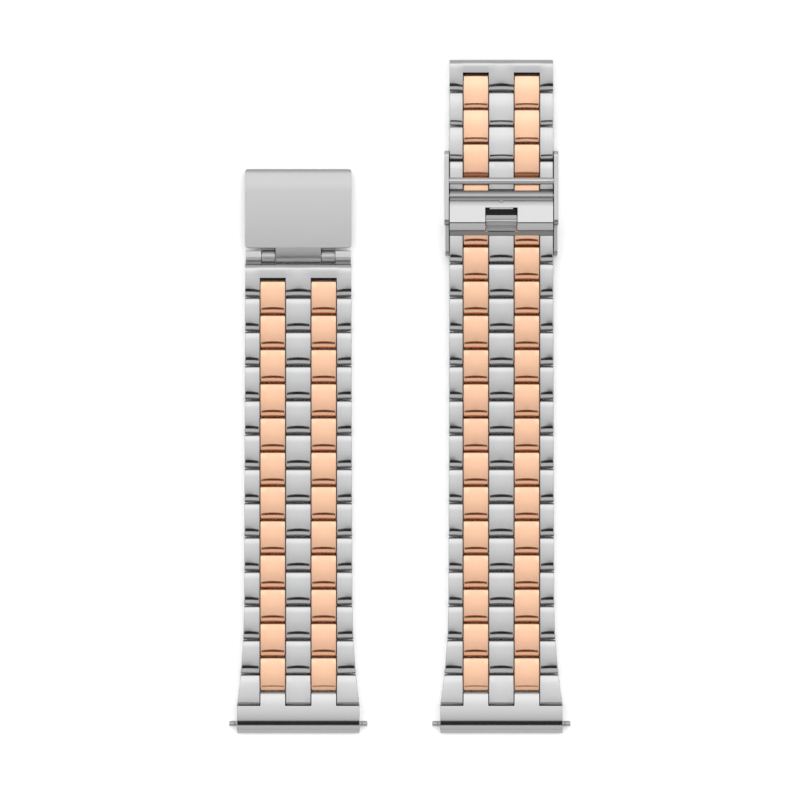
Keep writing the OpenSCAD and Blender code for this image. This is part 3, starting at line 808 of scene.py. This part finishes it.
for half in ROWS:
    polished_copy(f"{half}_end_link", [STEEL], edge=END_LINK_EDGE, arch=(bar_y[half] + END_LINK_TOP, END_LINK_ARCH))
for half in ROWS:
    for side in ("left", "right"):
        polished_copy(f"{half}_bar_plunger_{side}", [BRUSHED])
polished_copy("crossbar", [BRIGHT])
cover_y = END_HINGE["short"].y + COVER_Y
# Beyond its knuckle the hook's plate lies under the cover, and there the dark ground finish is painted shade.
polished_copy("clasp_hook", [BRUSHED, GROUND_AND_SHADE], finish_at=lambda centre: centre.y > cover_y + KNUCKLE_R)
polished_copy("clasp_cover", [SATIN], arch=(cover_y + COVER_TOP, COVER_ARCH),
              bend=(cover_y + COVER_BREAK, COVER_BEND))
print("cover pin at", round(cover_y, 2), "mm")

# %% [markdown]
# The tubes and coils of the spring bars and the lever's pin hardly show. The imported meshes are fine
# as they are, and only get a better finish.

# %% Hidden wire and tubes
HIDDEN_NODES = ("short_bar_tube", "long_bar_tube", "short_bar_spring", "long_bar_spring", "lever_pin")
for node in HIDDEN_NODES:
    frame["nodes"][node].data.materials.clear()
    frame["nodes"][node].data.materials.append(DRAWN)
print("drawn steel on", HIDDEN_NODES)

# %% [markdown]
# The clasp's frame is one sheet bent up at both sides. It is a polished copy too, but its walls have
# well rounded top edges, and the rims of their holes stay sharp. The low front parts of the walls and
# the back of the base plate are duller. The plate's upper side, which shows in the gaps between the
# links, gets the darker cut finish as painted shade under the strap.

# %% Clasp frame
CLASP_INSIDE, LEVER_PLAY = 16.84, 0.3
LEVER_HALF = (CLASP_INSIDE - LEVER_PLAY) / 2
WALL_LOW = 3.6
WALL_ROUND = 0.13
LOW_WALL_PAST = 0.9
PLATE_MIDDLE = 0.2
PLATE_CLEAR, HOLE_CLEAR = 0.6, 0.6
lever_hinge = joint_at["lever_hinge"]
frame_low, frame_high = (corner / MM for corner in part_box("clasp_frame"))
wall_step = next(v.co.y / MM for v in frame["nodes"]["clasp_frame"].data.vertices
                 if abs(v.co.z / MM - WALL_LOW) < 0.01 and v.co.y / MM > frame_low.y + 2)
wall_holes = (lever_hinge, sum(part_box("crossbar"), Vector()) / 2 / MM)


def wall_edge(middle):
    """Whether an edge runs round a wall, and not round a hole in it."""
    return middle.z > PLATE_CLEAR and all(
        math.hypot(middle.y - hole.y, middle.z - hole.z) > HOLE_CLEAR for hole in wall_holes)


def frame_finish(centre):
    """0 for the high walls, 1 for the low ones and the plate's back, and 2 for the plate's upper side, darkened as
    painted shade under the strap.
    """
    if abs(centre.x - (frame_low.x + frame_high.x) / 2) < LEVER_HALF:
        return 2 if centre.z > PLATE_MIDDLE else 1
    return centre.y < wall_step + LOW_WALL_PAST


polished_copy("clasp_frame", [BRIGHT, DRAWN, SHADED_CUT_STEEL], edge=WALL_ROUND, segments=4, rounded=wall_edge,
              finish_at=frame_finish)
print("walls step down at", round(wall_step, 2), "mm")

# %% [markdown]
# The lever is a barrel on its pin, a plate that rises a little away from it, and a front that bends
# down in two steps. Its side view is drawn from the lever's hinge. The window could be a Boolean cut,
# but the plate is simpler as four strips: one on each side, and one before and one behind the window.

# %% Lever plate
WINDOW_HALF = 2.6
WINDOW_NEAR, WINDOW_FAR = -5.73, -1.85
BARREL_R = 0.88
SADDLE = 45
BREAK_Y, RISE = -4.15, 5.5
LIP = -5.5


def lever_plate(x0, x1):
    """The lever's plate and front, from the barrel to the lip."""
    pen = Pen(-BARREL_R * sin_deg(SADDLE), BARREL_R * cos_deg(SADDLE), 225).turn(0.35, -40.4, 6).turn(4.6, -9.9, 4)
    pen.to(BREAK_Y, pen.tip.co.z + (pen.tip.co.y - BREAK_Y) * math.tan(math.radians(RISE)))
    pen.turn(0.45, 32.5, 4).turn(7.5, 9, 3).turn(0.25, 16, 3)
    pen.to(pen.tip.co.y - 0.21, pen.tip.co.z - 0.27).turn(0.4, -24, 3)
    pen.to(pen.tip.co.y - 0.45, pen.tip.co.z - 0.23).turn(0.17, 152, 6)
    pen.to(-5.75, pen.tip.co.z).to(-5.3, -0.55).to(-4.3, 0.02).to(-1.0, -0.25).to(-0.5, -0.3).to(-0.4, 0.3)
    bm = pen.carried(x0, x1)
    for face in bm.faces:
        face.material_index = int(face.calc_center_median().y < LIP)
    return bm


def cut_off(bm, y, keep_far):
    """Keeps the part of a piece beyond y, or the part before it, and closes the cut."""
    made = bmesh.ops.bisect_plane(bm, geom=bm.verts[:] + bm.edges[:] + bm.faces[:], dist=1e-5, plane_co=(0, y, 0),
                                  plane_no=(0, 1, 0), clear_inner=keep_far, clear_outer=not keep_far)
    bmesh.ops.edgeloop_fill(bm, edges=[e for e in made["geom_cut"] if isinstance(e, bmesh.types.BMEdge)])
    return bm


def joined(*parts):
    """One bmesh out of several."""
    whole = bmesh.new()
    for part in parts:
        add_copy(whole, part)
        part.free()
    return whole


plate = joined(lever_plate(WINDOW_HALF, LEVER_HALF), lever_plate(-LEVER_HALF, -WINDOW_HALF),
               cut_off(lever_plate(-WINDOW_HALF, WINDOW_HALF), WINDOW_FAR, True),
               cut_off(lever_plate(-WINDOW_HALF, WINDOW_HALF), WINDOW_NEAR, False))
print("lever plate", len(plate.faces), "faces")

# %% [markdown]
# In the window shows a tongue with two steps and a ledge, and before it a grooved foot. Under the foot
# is the tooth that drops between two rows of links and locks the clasp. They are side views again,
# because a real lever is bent and milled from the side. The barrel is a thick pin with a small round
# dimple at its middle.

# %% Lever inside and barrel
TONGUE_HALF = WINDOW_HALF - 0.15
TOOTH_HALF = 1.49
DIMPLE_R, DIMPLE_UP = 0.3, 0.4


def tongue():
    """The two steps and the ledge in the window."""
    pen = Pen(-2.1, 0.17, 194).to(-3.05, -0.067).turn(0.25, 16, 3).to(-3.70, -0.431).to(-3.78, -0.25, 180)
    pen.to(-4.06, -0.25).turn(0.06, 90, 3).to(-4.12, -0.9).to(-3.6, -0.9).to(-3.0, -0.45).to(-2.1, -0.23)
    return pen.carried(-TONGUE_HALF, TONGUE_HALF)


def foot():
    """The grooved foot in front of the ledge, which bears the tooth."""
    pen = Pen(-4.12, -0.45, 180).to(-4.75, -0.45).to(-4.80, -0.75).to(-5.05, -0.75).to(-5.10, -0.5)
    pen.to(-5.55, -0.5, 180).turn(0.1, 90, 3).to(-5.65, -0.9).to(-4.12, -0.9)
    return pen.carried(-TONGUE_HALF, TONGUE_HALF)


def tooth():
    """The tooth under the foot."""
    pen = Pen(-5.37, -0.8, 270).to(-5.37, -1.0).turn(0.3, 180, 8).to(-4.77, -0.8)
    return pen.carried(-TOOTH_HALF, TOOTH_HALF)


dimple = bmesh.new()
bmesh.ops.create_uvsphere(dimple, u_segments=24, v_segments=12, radius=DIMPLE_R,
                          matrix=Matrix.Translation((0, -BARREL_R, DIMPLE_UP)))
for name, bm, finishes in (("plate", plate, [STEEL, GROUND_AND_SHADE]), ("foot", joined(foot(), tooth()), [GROUND_AND_SHADE]),
                           ("dimple", dimple, [STEEL]), ("barrel", pin(-LEVER_HALF, LEVER_HALF, BARREL_R), [DRAWN]),
                           ("tongue", tongue(), [STEEL])):
    print("lever", name, len(bm.faces), "faces")
    finish_piece(f"lever_{name}", placed(bm, lever_hinge), finishes, "lock_lever")
